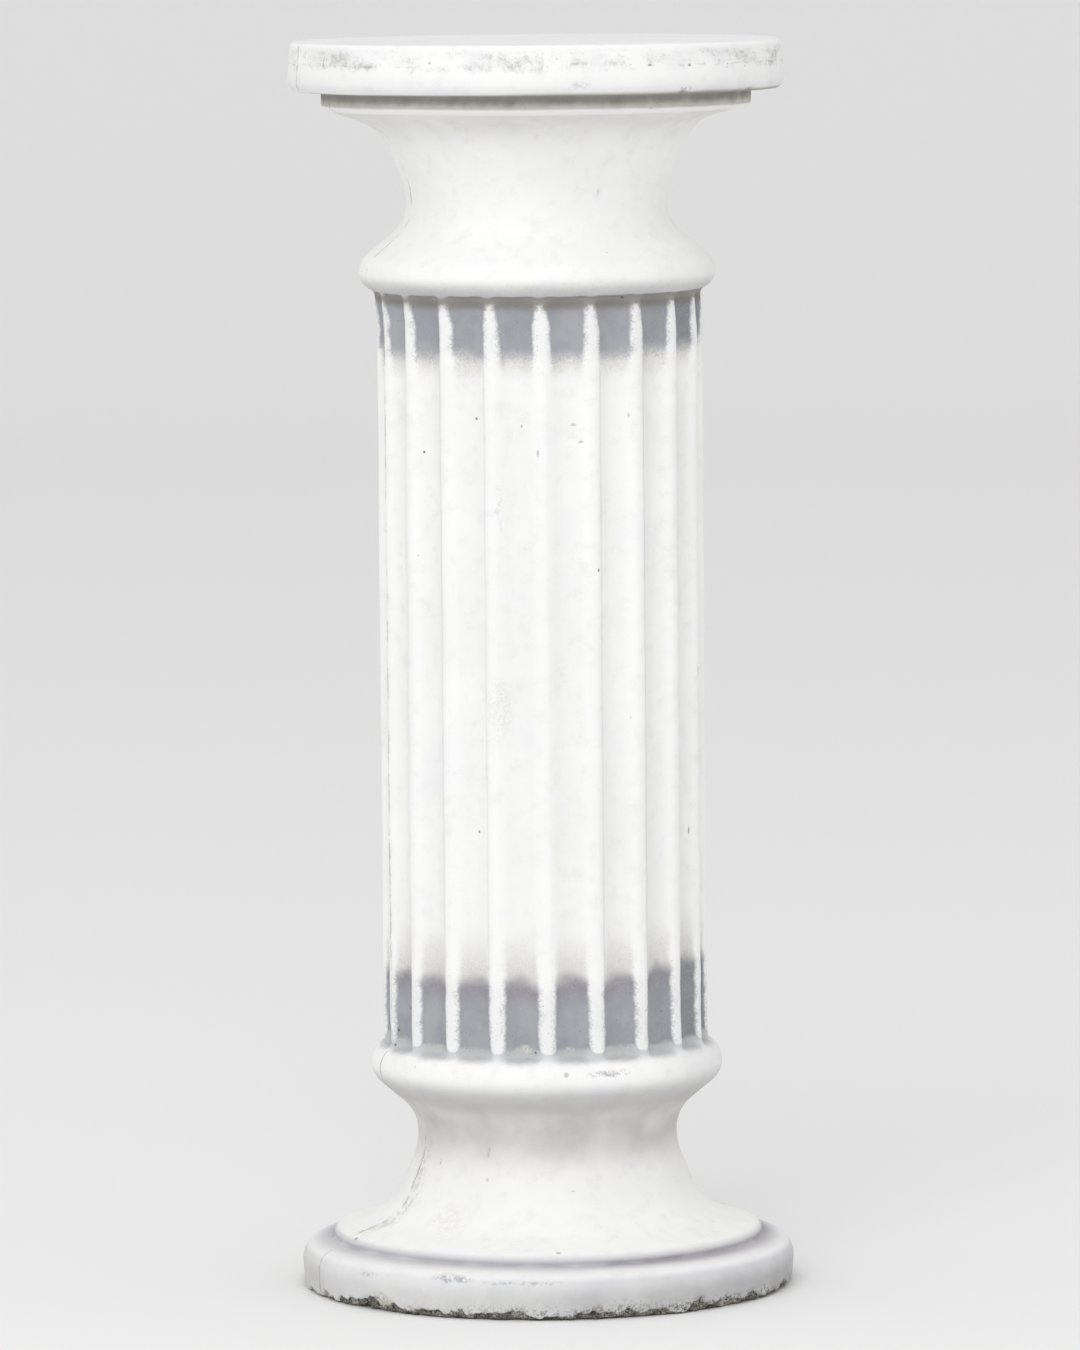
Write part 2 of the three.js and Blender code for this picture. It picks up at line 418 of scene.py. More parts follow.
def makeCasting(material):
    outline = bpy.data.objects.new("Outline", makeOutline())
    bpy.context.collection.objects.link(outline)
    tree = makeCastingTree()
    modifier = outline.modifiers.new("Casting", "NODES")
    modifier.node_group = tree
    sockets = {item.name: item.identifier for item in tree.interface.items_tree
               if item.item_type == "SOCKET" and item.in_out == "INPUT"}
    for name, kind, value in treeInputs:
        modifier[sockets[name]] = value
    modifier[sockets["Paint"]] = material
    bpy.context.view_layer.update()
    depsgraph = bpy.context.evaluated_depsgraph_get()
    mesh = bpy.data.meshes.new_from_object(outline.evaluated_get(depsgraph))
    mesh.name = "ColumnCasting"
    outline.modifiers.remove(modifier)
    bpy.data.objects.remove(outline)
    column = bpy.data.objects.new("ColumnCasting", mesh)
    bpy.context.collection.objects.link(column)
    return column


paint = bpy.data.materials.new("painted stone")
column = makeCasting(paint)
print("casting turned:", len(column.data.vertices), "points,", len(column.data.polygons), "faces")


# What a rough mould and years outdoors have done to it.
# Places are azimuths from the front towards the right, and heights above the ground.
wear = {
    "seed": 11,
    "wobble": 0.32, "wobbleSize": 55, "wobbleRadii": (20, 80), "wobbleHeights": (1, 20),
    # sideways, in the two-piece mould
    "capitalShift": -1.3, "capitalFoot": 600, "baseShift": 0.7, "baseTop": 175, "shiftRun": 25,
    # the flare is fuller on the left
    "bulge": 3.2, "bulgeHeight": 732.5, "bulgeReach": 7, "bulgeRadius": 131,
    "seamHeights": (0, 30, 150, 620, 780), "seamAzimuths": (-68, -68, -70.8, -71.6, -72.8),
    "seamRise": 0.45, "seamReach": 1.6, "seamStart": (3, 8), "seamEnd": 778,
    "seamLeft": 0.35, "seamLeftSwing": (-0.3, 0.5), "seamLeftSize": 22,
    # lumps beside the line, low on the base, where the mould leaked
    "leakHeights": (34, 96), "leakEnds": (6, 12), "leakAside": 5, "leakReach": 9,
    "leakRise": 0.5, "leakSize": 7,
    "dentRagged": 0.5, "dentRaggedSize": 2.2,
    "rimTop": 8.5, "rimInner": 148, "rimCuts": 2, "rimCutStep": 3,
    "breakHeight": 3.9, "breakSwing": 1.5, "breakRun": 15, "breakEdge": (-0.7, 0.5),
    "breakDepth": 1.2, "breakRough": 2.2, "breakRange": (-0.4, 1.6), "breakBias": 0.6,
    "breakSize": 6, "crumbs": 0.6, "crumbSize": 2.5,
    "bites": 34, "biteReach": (1.6, 5.5), "biteDepth": (0.6, 2.2), "biteHeight": (0, 2.5),
    "biteStretch": 1.5, "biteRagged": 0.5, "biteRaggedSize": 3, "biteEdge": (0.1, 0.5),
    "worstBites": ((-53, -30), (8, 42)),
    "liftBelow": 1, "liftOutside": 149, "lift": 0.35, "bareBelow": 0.6,
}
dents = [  # azimuth, height, half width, half height, depth
    (29.1, 686.4, 3.9, 4.8, 0.85),
    (31.4, 740.0, 1.6, 1.6, 0.9),
    (24.0, 739.2, 9.0, 1.0, 0.5),
    (-65.3, 35.8, 3.0, 1.8, 1.0),
    (3.1, 36.2, 2.2, 1.4, 0.9),
    (-22.0, 36.0, 6.0, 1.0, 0.4),
    (36.2, 750.6, 3.0, 1.6, 0.9),
    (59.4, 751.0, 4.0, 1.6, 0.9),
    (8.7, 767.8, 3.0, 1.4, 0.6),
    (9.5, 755.6, 2.2, 1.6, 0.4),
    (12.1, 546.0, 2.0, 1.3, 0.5),
    (14.6, 535.5, 1.8, 1.2, 0.5),
    (-1.0, 529.1, 1.2, 2.0, 0.5),
    (33.3, 551.0, 1.2, 1.4, 0.4),
    (-24.2, 549.8, 1.4, 1.4, 0.4),
    (72.9, 388.2, 0.9, 3.4, 0.6),
    (68.2, 288.8, 0.8, 2.6, 0.5),
    (22.0, 146.0, 12.0, 1.3, 0.4),
    (-7.5, 160.6, 4.5, 2.0, -0.7),  # crumbs of mortar in the foot of a flute
    (9.5, 159.8, 3.0, 1.6, -0.6),
]


def onSurface(column, azimuth, height):
    # The point of the casting nearest to a place that is given round it and up it
    angle = math.radians(azimuth)
    way = Vector((math.sin(angle), -math.cos(angle), 0))
    farOut = way * 400 * mm + Vector((0, 0, height * mm))
    return column.ray_cast(farOut, -way)[1] / mm


def refine(column, w, dents):
    # Finer faces along the broken lower rim and round each dent
    form = bmesh.new()
    form.from_mesh(column.data)
    for cut in range(w["rimCuts"]):
        top = (w["rimTop"] - w["rimCutStep"] * cut) * mm
        inner = (w["rimInner"] + w["rimCutStep"] * cut) * mm
        edges = {edge for face in form.faces for edge in face.edges
                 if face.calc_center_median().z < top and face.calc_center_median().xy.length > inner}
        bmesh.ops.subdivide_edges(form, edges=list(edges), cuts=1, use_grid_fill=True)
    for azimuth, height, halfWidth, halfHeight, depth in dents:
        spot = onSurface(column, azimuth, height) * mm
        reach = (max(halfWidth, halfHeight) * 1.2 + 1) * mm
        edges = {edge for face in form.faces for edge in face.edges
                 if (face.calc_center_median() - spot).length < reach}
        cuts = 2 if halfWidth < 4 else 1  # a wide dent does with fewer faces
        bmesh.ops.subdivide_edges(form, edges=list(edges), cuts=cuts, use_grid_fill=True)
    bmesh.ops.recalc_face_normals(form, faces=form.faces)
    form.to_mesh(column.data)
    form.free()


def smoothStep(value, low, high):
    share = np.clip((value - low) / (high - low), 0, 1)
    return share * share * (3 - 2 * share)


def cloud(places, size, seed, octaves=3):
    # Soft noise about zero, of one size in millimetres
    shift = Vector((seed * 17.3, seed * 5.1, seed * 9.7))
    return np.array([noise.fractal(Vector(p) / size + shift, 1.0, 2.0, octaves) for p in places])


def measure(column):
    # Every point's place and normal, where it is round the axis, and the way out from the axis
    mesh = column.data
    flat = np.empty(len(mesh.vertices) * 3)
    mesh.vertices.foreach_get("co", flat)
    places = flat.reshape(-1, 3) / mm
    mesh.vertices.foreach_get("normal", flat)
    normals = flat.reshape(-1, 3).copy()
    x, y, z = places.T
    radius = np.hypot(x, y)
    outwards = places / np.maximum(radius, 1)[:, None]
    outwards[:, 2] = 0
    return {"places": places, "normals": normals, "outwards": outwards,
            "z": z, "radius": radius, "azimuth": np.degrees(np.arctan2(x, -y))}


def settle(points, w):
    # Not quite round, each end a little aside of the shaft, and the flare fuller on the left
    z, radius = points["z"], points["radius"]
    wobble = cloud(points["places"], w["wobbleSize"], w["seed"]) * w["wobble"]
    wobble *= smoothStep(radius, *w["wobbleRadii"]) * smoothStep(z, *w["wobbleHeights"])
    shift = points["normals"] * wobble[:, None]
    capitalPart = smoothStep(z, w["capitalFoot"], w["capitalFoot"] + w["shiftRun"])
    basePart = 1 - smoothStep(z, w["baseTop"] - w["shiftRun"], w["baseTop"])
    shift[:, 0] += capitalPart * w["capitalShift"] + basePart * w["baseShift"]
    bulge = np.exp(-((z - w["bulgeHeight"]) / w["bulgeReach"]) ** 2) * (radius < w["bulgeRadius"])
    leftness = -np.sin(np.radians(points["azimuth"]))
    return shift + points["outwards"] * (w["bulge"] * bulge * leftness)[:, None]


def raiseSeam(points, w):
    # The mould's parting line, half dressed off, on the left and opposite, and the lumps beside it
    z = points["z"]
    lineAt = np.interp(z, w["seamHeights"], w["seamAzimuths"])
    fromSeam = np.radians((points["azimuth"] - lineAt + 90) % 180 - 90) * points["radius"]
    left = w["seamLeft"] + np.clip(cloud(points["places"], w["seamLeftSize"], w["seed"] + 1),
                                   *w["seamLeftSwing"])
    ridge = np.clip(1 - np.abs(fromSeam) / w["seamReach"], 0, 1)
    rise = ridge * left * w["seamRise"] * smoothStep(z, *w["seamStart"]) * (z < w["seamEnd"])

    low, high = w["leakHeights"]
    rising, falling = w["leakEnds"]
    away = np.abs(fromSeam - w["leakAside"]) / w["leakReach"]
    near = (away < 2) & (z > low) & (z < high)
    lumps = cloud(points["places"][near], w["leakSize"], w["seed"] + 7) * w["leakRise"]
    lumps *= np.exp(-away[near] ** 2) * smoothStep(z[near], low, low + rising)
    rise[near] += lumps * (1 - smoothStep(z[near], high - falling, high))
    return points["normals"] * rise[:, None], fromSeam


def pressDents(points, w, dents, spots):
    # Dents and nicks, pressed along the surface
    shift = np.zeros_like(points["places"])
    for (azimuth, height, halfWidth, halfHeight, depth), spot in zip(dents, spots):
        angle = math.radians(azimuth)
        away = points["places"] - np.array(spot)
        aside = away @ np.array((math.cos(angle), math.sin(angle), 0))
        near = (aside / halfWidth) ** 2 + (away[:, 2] / halfHeight) ** 2
        facing = (np.linalg.norm(away, axis=1) < 3 * max(halfWidth, halfHeight)) & (near < 6)
        crumbled = cloud(points["places"][facing], w["dentRaggedSize"], w["seed"] + 2, 2)
        pressed = np.exp(-near[facing] ** 2) * depth * (1 + w["dentRagged"] * crumbled)
        shift[facing] -= points["normals"][facing] * pressed[:, None]
    return shift


def breakRim(points, w):
    # The lower rim: paint and stone broken away in a ragged band, with deeper bites
    low = (points["radius"] > w["rimInner"] - 4) & (points["z"] < w["rimTop"] + 2)
    places, outwards = points["places"][low], points["outwards"][low]
    z, radius, azimuth = points["z"][low], points["radius"][low], points["azimuth"][low]
    edge = w["breakHeight"] * (1 + w["breakSwing"] * cloud(places * (1, 1, 0), w["breakRun"], w["seed"] + 3))
    below = 1 - smoothStep(z - edge, *w["breakEdge"])
    rough = w["breakBias"] + cloud(places, w["breakSize"], w["seed"] + 4)
    rough += w["crumbs"] * cloud(places, w["crumbSize"], w["seed"] + 5)
    inward = below * (w["breakDepth"] + w["breakRough"] * np.clip(rough, *w["breakRange"]))

    luck = random.Random(w["seed"])
    ragged = w["biteRagged"] * cloud(places, w["biteRaggedSize"], w["seed"] + 6)
    for bite in range(w["bites"]):
        span = luck.choice(w["worstBites"]) if bite % 2 else (-180, 180)
        where = luck.uniform(*span)
        reach = luck.uniform(*w["biteReach"])
        depth = luck.uniform(*w["biteDepth"])
        height = luck.uniform(*w["biteHeight"])
        across = np.radians((azimuth - where + 180) % 360 - 180) * radius
        away = np.sqrt((across / w["biteStretch"]) ** 2 + (z - height) ** 2) / reach + ragged
        hole = np.clip(1 - away ** 2, 0, 1)
        inward += hole * depth
        below = np.maximum(below, smoothStep(hole, *w["biteEdge"]))

    atEdge = smoothStep(radius, w["rimInner"] - 2, casting["base"]["faceRadius"])
    shift = np.zeros_like(points["places"])
    shift[low] = -outwards * (inward * atEdge)[:, None]
    atFoot = (z < w["liftBelow"]) & (radius > w["liftOutside"])
    shift[low, 2] += np.clip(inward, 0, 2) * w["lift"] * atEdge * atFoot
    broken = np.zeros(len(points["z"]))
    broken[low] = below
    broken[points["z"] < w["bareBelow"]] = 1
    return shift, broken


def weather(column, w, dents):
    points = measure(column)
    spots = [onSurface(column, *dent[:2]) for dent in dents]
    seamShift, fromSeam = raiseSeam(points, w)
    rimShift, broken = breakRim(points, w)
    moved = points["places"] + settle(points, w) + seamShift
    moved += pressDents(points, w, dents, spots) + rimShift
    moved[:, 2] = np.clip(moved[:, 2], 0, columnHeight)
    column.data.vertices.foreach_set("co", (moved * mm).ravel())
    for name, values in (("broken", broken), ("fromSeam", fromSeam)):
        attribute = column.data.attributes.new(name, "FLOAT", "POINT")
        attribute.data.foreach_set("value", values.astype(np.float32))
    column.data.update()


refine(column, wear, dents)
weather(column, wear, dents)
column.data.shade_smooth()
triangles = sum(len(face.vertices) - 2 for face in column.data.polygons)
print("weathered:", triangles, "triangles")
assert triangles < 200000


# The finish: matt off-white paint, grey brushed into the ends of the flutes, years of dirt, and painted shade
# in the hollows, under the overhangs and towards the right, with a painted highlight on the lip.
# Tones are sRGB readings of well lit paint; sizes, heights and radii are millimetres.
tones = {
    "white": (251, 251, 250), "chalkWhite": (248, 248, 247), "coolWhite": (249, 249, 250),
    "grey": (157, 160, 168), "paleGrey": (171, 173, 179), "purpleGrey": (148, 144, 154),
    "oversprayGrey": (190, 192, 194), "topBrown": (136, 132, 126), "dustTan": (196, 190, 178),
    "lipShade": (118, 113, 107), "crumbs": (222, 220, 214),
    "warmDirt": (150, 143, 128), "coolDirt": (132, 134, 148), "darkDirt": (70, 66, 58),
    "rust": (150, 127, 98), "stoneDark": (62, 60, 54), "stoneGrey": (128, 126, 119),
    "stonePale": (188, 184, 172), "underside": (168, 165, 158), "shadedGrey": (136, 138, 145),
}
finish = {
    "litPaint": 1.06,  # how bright white paint comes out under these lights
    "flattened": (1, 1, 3), "markEdge": (1.35, 0.4),
    "smearAround": {"grainy": 7, "cloudy": 12}, "smearUp": {"cloudy": 3, "grainy": 2, "fine": 1.6},
    "nudgeAside": {"fine": 1}, "nudgeUp": {"grainy": 0.8},
    # half of the white strip that is left on a rib, narrower under the upper torus
    "ribHalf": 4.6, "ribHalfAtTop": 3.2, "ribNarrows": (604, 617),
    "ribRagged": {"cloudy": 2.6, "grainy": 1.6, "fine": 1.5},
    # the grey bands reach further at the far right, and highest in the middle of a flute
    "farRight": (0.3, 1), "lowBandRight": 8, "topBandRight": 5, "domeReach": 14, "domeRise": 0.35,
    "lowRagged": {"patchy": 13, "cloudy": 6, "fine": 5},
    "topRagged": {"patchy": 13, "cloudy": 5, "fine": 4},
    "noseRound": 0.0052, "greyStrength": 0.97, "fringeStrength": 0.9, "edgeStrength": 0.35,
    "oversprayRadius": 102.2, "oversprayScallop": 0.8, "scallopRun": (3, 12),
    "oversprayRagged": {"cloudy": 6, "patchy": 7, "grainy": 2},
    "lineRagged": {"grainy": 3.2, "fine": 1.2},
    "leakRagged": {"patchy": 12, "cloudy": 8, "grainy": 4},
    "roughness": 0.72, "roughnessSwing": 0.16, "bareRoughness": 0.15, "specular": 0.35,
    "relief": 0.16, "grainRelief": 0.6, "fineRelief": 0.25, "holeRelief": 0.9, "bareRelief": 2,
}
noises = {  # size, seed and detail
    "broad": (75, 1, 3), "patchy": (24, 2, 3), "cloudy": (9, 3, 3), "grainy": (3.2, 4, 3),
    "fine": (1.1, 5, 2),
}
streaks = (26, 6, 5)
dots = {  # spacing, reach, chance and seed
    "pits": (2.6, 0.6, 0.16, 8), "pinholes": (13, 0.6, 0.10, 2), "soot": (3.2, 0.5, 0.22, 5),
}
# A mask is a field, its limits, and the noises that roughen it. It eases in from the first limit
# to the second; with three, it holds between two of them and the last is how soft its edges are.
masks = {
    "chalky": ("broad", (0.42, 0.62), {"cloudy": 0.3}),
    "cool": ("patchy", (0.5, 0.68), {"grainy": 0.2}),
    "dusty": ("cloudy", (0.5, 0.8), {"fine": 0.5}),
    "shaft": ("height", (152, 621, 3)),
    "plateSide": ("height", (749.5, 751)), "plateRim": ("radius", (148, 150)),
    "plinthSide": ("height", (27, 23)), "plinthRim": ("radius", (140, 146)),
    # hollows of the mouldings and faces that look down, for dirt and for painted shade
    "bell": ("height", (650, 741, 3)), "bellTop": ("height", (696, 736)),
    "bellOut": ("radius", (84, 108)),
    "torusFoot": ("height", (618, 632, 4.5)), "torusOut": ("radius", (100, 103)),
    "underTorus": ("height", (120, 136, 6)), "coveOut": ("radius", (81, 90)),
    "lowNeck": ("height", (88, 126, 13)), "lowFlare": ("height", (60, 90, 16)),
    "stepFace": ("height", (32, 36.5, 1.8)), "stepOut": ("radius", (128, 133)),
    "crease": ("height", (27.5, 33.5, 1.8)),
    "intoCrease": ("radius", (152, 134), {"patchy": 9, "cloudy": 2.5}),
    "creaseFoot": ("height", (29, 32.5, 1)), "creaseRing": ("radius", (133.5, 136, 1.2)),
    "creaseBlotch": ("broad", (0.48, 0.62), {"patchy": 0.4}),
    "toRight": ("rightness", (0, 0.55)), "acrossRight": ("rightness", (-0.6, 1)),
    "lowOnPlinth": ("height", (26, 11)),
    "shoulder": ("height", (32, 27)), "shoulderOut": ("radius", (138, 142)),
    "lowTorus": ("height", (135, 158, 4)), "capTorus": ("height", (634, 650, 4)),
    "rightEnd": ("rightness", (0.55, 0.98)), "leftEnd": ("rightness", (-0.86, -0.97)),
    "topFace": ("height", (779, 779.6)),
    # the step under the plate: painted shade under the plate, partly dirt, fading to tan, and a painted
    # highlight on the lip's rounded edge
    "lipFace": ("height", (740.2, 752, 0.8)), "underPlate": ("height", (752.5, 750)),
    "insidePlate": ("radius", (153, 149)),
    "lipShaded": ("height", (740.1, 746), {"cloudy": 3, "patchy": 2.5, "fine": 1}),
    "lipEdge": ("height", (736.6, 740, 0.6), {"cloudy": 1.4, "patchy": 1.2}),
    "lipOut": ("radius", (121, 127)),
    # the plate's side
    "upperPlate": ("height", (764.5, 776, 2.5), {"cloudy": 5, "grainy": 3}),
    "lowOnPlate": ("height", (764, 752)),
    "stained": ("streaky", (0.45, 0.85), {"cloudy": 0.4, "grainy": 0.6, "fine": 0.5}),
    "smudgy": ("streaky", (0.38, 0.62), {"patchy": 0.5}),
    "plateLine": ("height", (766.4, 767, 0.4), {"patchy": 3, "cloudy": 1.6, "fine": 0.8}),
    "lineBroken": ("cloudy", (0.42, 0.6), {"fine": 0.3}),
    "lineSides": ("sideways", (0.3, 0.6), {"patchy": 0.8}),
    "pitPatches": ("patchy", (0.42, 0.6)), "pitRow": ("height", (763, 771, 2)),
    # the flutes and the grey at their ends
    "inFlute": ("fromEdge", (-1, 1.9)),
    "underNose": ("noseHeight", (158, 156.4), {"cloudy": 2.5, "fine": 1}),
    "lowBand": ("lowHeight", (204, 193)), "topBand": ("topHeight", (582, 594)),
    "lowFade": ("lowHeight", (233, 197)), "topFade": ("topHeight", (569, 590)),
    "floorDirt": ("fromEdge", (-0.5, 3.5)),
    "offTorus": ("height", (155.8, 161.8), {"cloudy": 4, "patchy": 5, "fine": 1.5}),
    "greyPatches": ("patchy", (0.4, 0.65), {"cloudy": 0.4}),
    "fringe": ("lowHeight", (187, 229, 7)), "nearEdge": ("fromEdge", (3.2, 0.6)),
    "shadedSide": ("rightness", (0.55, 1)),
    "smudgeEdge": ("fromEdge", (-3.4, 0.2)),
    "smudgeGrain": ("fine", (0.46, 0.64), {"cloudy": 0.5}),
    "aboveTorus": ("height", (156, 159)), "ribFace": ("fromEdge", (0.5, -0.5)),
    "highUp": ("height", (614, 620.5), {"cloudy": 4, "fine": 2}),
    "insideTorus": ("radius", (104, 102)), "belowTorus": ("height", (634, 626)),
    "besideRib": ("fromEdge", (-2.8, 0)), "deepShade": ("height", (618, 621), {"cloudy": 3}),
    "torusTop": ("height", (143, 160, 2)), "sprayReach": ("beyondSpray", (3, -2.6)),
    "unpainted": ("painted", (0.95, 0.2)),
    "outward": ("flank", (0.1, 0.45)), "ribFlank": ("fromRib", (4.4, 6.2, 0.6)),
    "recessed": ("recess", (0.2, 0.9)),
    # the mould's parting line, dots, and the plinth's foot
    "onLine": ("besideLine", (1.3, 0.2)),
    "linePatches": ("patchy", (0.4, 0.62), {"cloudy": 0.7, "fine": 0.4}),
    "lineRun": ("height", (3, 778, 1)),
    "leaked": ("besideLeak", (10, 2)), "leakRun": ("height", (38, 88, 6)),
    "blotchy": ("grainy", (0.42, 0.62), {"fine": 0.7, "cloudy": 0.5}),
    "holeRun": ("height", (4, 779, 1)), "markPatches": ("grainy", (0.35, 0.62), {"fine": 0.9}),
    "damp": ("grainy", (0.28, 0.56), {"fine": 0.9}), "paleStone": ("cloudy", (0.5, 0.66), {"fine": 0.8}),
    "splashed": ("height", (13, 1), {"patchy": 14, "cloudy": 9}),
    "splashGrain": ("fine", (0.51, 0.64), {"grainy": 0.9}),
    "splashRight": ("rightness", (-0.9, 0.5)),
    "bare": ("broken", (0.35, 0.6), {"grainy": 0.5, "fine": 0.3}),
    "downFace": ("height", (0.5, 0.2)), "insideRim": ("radius", (151, 148)),
}
shares = {  # a field or mask, times the first number, plus the second
    "uneven": ("patchy", 1.2, 0.4), "speckled": ("fine", 1.4, 0.3),
    "strongRight": ("toRight", 0.3, 0.66), "plinthShare": ("acrossRight", 0.68, 0.58),
    "lipMottle": ("cloudy", 0.5, 0.75), "sprayMottle": ("cloudy", 1, 0.5),
}
eithers = {  # the larger of two masks
    "fade": ("lowFade", "topFade"), "band": ("lowBand", "topBand"),
    "coated": ("inFlute", "underNose"), "overRibs": ("besideRib", "deepShade"),
    "sooty": ("sootyShaft", "sootyPlate"),
}
overlaps = {  # where all of these masks hold
    "plate": ("plateSide", "plateRim"), "plinth": ("plinthSide", "plinthRim"),
    "painted": ("coated", "band", "shaft", "offTorus"),
    "sootyShaft": ("fade", "shaft"), "sootyPlate": ("plate", "upperPlate"),
}
# Coats of paint, dirt and painted shade, in the order they lie in: tone, strength, and the masks that hold it
# in
coatsOnMouldings = [
    ("chalkWhite", 1, "chalky"), ("coolWhite", 1, "cool"), ("dustTan", 0.13, "dusty"),
    # painted shade under the plate on the top of the bell, partly dirt
    ("warmDirt", 0.24, "bellTop", "bellOut", "bell", "uneven"),
    # painted shade on the underside of the capital's torus
    ("warmDirt", 0.22, "torusFoot", "torusOut", "speckled"),
    ("coolDirt", 0.30, "torusFoot", "torusOut", "uneven"),
    # painted shade under the base's torus
    ("coolDirt", 0.32, "underTorus", "coveOut"), ("warmDirt", 0.11, "underTorus", "coveOut"),
    ("warmDirt", 0.44, "lowNeck", "uneven"), ("warmDirt", 0.08, "lowFlare", "uneven"),
    # painted shade on the step's face and in the crease at its foot, stronger towards the right
    ("coolDirt", 0.36, "stepFace", "stepOut"),
    ("purpleGrey", 0.86, "crease", "intoCrease", "strongRight", "uneven"),
    ("coolDirt", 0.26, "creaseFoot", "creaseRing", "creaseBlotch"),
    # the plinth's side: painted shade growing towards the right, and darker towards the bottom
    ("warmDirt", 0.32, "plinth", "plinthShare", "lowOnPlinth", "uneven"),
    ("coolDirt", 0.24, "plinth", "plinthShare", "uneven"),
    # after the shoulder's coat: painted shade on the right-hand ends of both tori
    ("coolDirt", 0.10, "shoulder", "shoulderOut"), ("coolDirt", 0.14, "lowTorus", "rightEnd"),
    ("coolDirt", 0.06, "capTorus", "rightEnd"),
    ("warmDirt", 0.12, "leftEnd", "plinth", "uneven"),
    ("coolDirt", 0.13, "topFace", "uneven"),
    # painted shade under the plate, partly dirt, then a painted highlight on the lip's edge
    ("dustTan", 0.55, "lipFace", "insidePlate"),
    ("lipShade", 0.68, "lipShaded", "underPlate", "insidePlate", "lipMottle"),
    ("white", 0.72, "lipEdge", "lipOut"),
    ("warmDirt", 0.5, "plate", "upperPlate", "stained"),
    ("coolDirt", 0.11, "plate", "upperPlate", "smudgy"),
    ("coolDirt", 0.03, "plate", "uneven"),
    ("coolDirt", 0.10, "plate", "lowOnPlate", "uneven"),
    ("darkDirt", 0.30, "plate", "plateLine", "lineBroken", "lineSides"),
    ("coolDirt", 0.75, "pits", "pitPatches", "plate", "pitRow"),
]
coatsUnderGrey = [("warmDirt", 0.34, "shaft", "fade", "floorDirt", "speckled")]
coatsOverGrey = [
    ("paleGrey", 0.42, "smudgeEdge", "smudgeGrain", "band", "shaft", "aboveTorus"),
    ("coolDirt", 0.08, "band", "shaft", "speckled", "ribFace"),
    # brown painted shade just under the capital's torus, over the ribs too
    ("topBrown", 0.85, "highUp", "insideTorus", "belowTorus", "overRibs"),
    ("oversprayGrey", 0.82, "torusTop", "coated", "sprayReach", "unpainted", "sprayMottle"),
    # a thin line of painted shade on the rib flanks turned away from the front
    ("coolDirt", 0.20, "outward", "ribFlank", "shaft", "uneven"),
    # slight painted shade in the floors of the flutes
    ("warmDirt", 0.055, "recessed", "shaft", "uneven"),
    ("warmDirt", 0.6, "onLine", "linePatches", "lineRun"),
    ("warmDirt", 0.3, "leaked", "leakRun", "blotchy"),
    ("darkDirt", 0.36, "pinholes", "holeRun"), ("darkDirt", 0.45, "soot", "sooty"),
]
coatsAtFoot = [("stoneDark", 0.85, "splashed", "plinth", "splashGrain", "splashRight")]
# Marks on the photographed side: azimuth, height, half width, half height, strength
pins = {
    "darkDirt": [
        (-47.8, 528, 0.8, 0.8, 0.9), (-24.2, 549.8, 0.9, 0.9, 0.8), (20.3, 456.4, 0.9, 1.0, 0.8),
        (-24.5, 294.7, 0.7, 0.9, 0.8), (-74.9, 426.9, 0.9, 1.2, 0.8), (72.9, 388.2, 0.7, 3.6, 0.8),
        (68.2, 288.8, 0.6, 2.8, 0.7), (-60.7, 180, 0.8, 0.8, 0.8), (-67.8, 165, 0.9, 0.9, 0.9),
        (-69.1, 155.3, 0.9, 0.9, 0.8), (-3.6, 158.3, 0.8, 0.8, 0.8), (61.7, 160.3, 1.0, 1.0, 0.95),
        (-25.2, 769.2, 0.8, 0.8, 0.45), (26.4, 766.9, 1.3, 0.8, 0.6), (37.1, 766.3, 1.4, 0.9, 0.6),
        (-48.4, 146.4, 0.5, 4.2, 0.3), (31.4, 740.2, 1.2, 0.9, 0.22), (31, 623.5, 1.2, 0.9, 0.8),
        (-7.0, 545.5, 0.7, 1.0, 0.5),
    ],
    "rust": [
        (-26.3, 91.2, 0.8, 2.2, 0.4), (-52.7, 83.5, 0.7, 3.0, 0.4), (-25.5, 76.2, 1.4, 1.2, 0.35),
        (-65.3, 36.3, 2.0, 0.9, 0.6), (3.1, 38.2, 1.8, 0.8, 0.5), (8.7, 768.2, 2.2, 1.0, 0.4),
        (-26.0, 94.5, 0.6, 1.2, 0.4), (10.5, 70.2, 1.6, 0.5, 0.35),
    ],
    "coolDirt": [
        (6.6, 145.8, 1.7, 1.7, 0.5), (-1.0, 529.1, 1.0, 2.2, 0.5), (12.1, 546.0, 2.0, 1.0, 0.45),
        (14.6, 535.5, 1.6, 0.9, 0.5), (33.3, 551.0, 1.0, 1.4, 0.4),
        (26.9, 687.6, 1.0, 3.4, 0.22),
    ],
}
stains = {
    "coolDirt": [
        (21.4, 145.8, 13.0, 2.0, 0.6), (-22.6, 24.8, 12.0, 2.4, 0.6), (-14.5, 494.0, 1.4, 18.0, 0.14),
        (-15.0, 372.0, 8.0, 18.0, 0.12), (9.5, 755.6, 6.0, 2.4, 0.3), (36.2, 752.4, 5.0, 1.6, 0.4),
        (-6.0, 23.5, 26.0, 1.1, 0.4), (47.0, 160.5, 8.0, 2.0, 0.3),
    ],
    "rust": [
        (-46.2, 22.4, 6.0, 1.6, 0.5), (-42.3, 7.5, 9.0, 5.0, 0.6), (-33.0, 4.0, 9.0, 3.0, 0.4),
        (12.0, 7.0, 8.0, 4.0, 0.4), (-38.0, 52.0, 12.0, 8.0, 0.12),
    ],
    "darkDirt": [
        (21.7, 2.4, 9.0, 3.0, 0.9), (-7.5, 4.6, 6.0, 3.4, 0.8), (9.7, 3.0, 9.0, 3.6, 0.85),
        (34.0, 4.0, 16.0, 3.4, 0.5), (-35.0, 2.5, 7.0, 2.6, 0.7),
    ],
    "crumbs": [
        (-7.5, 160.2, 6.0, 2.8, 0.9), (9.5, 159.6, 4.5, 2.4, 0.8),
    ],
}


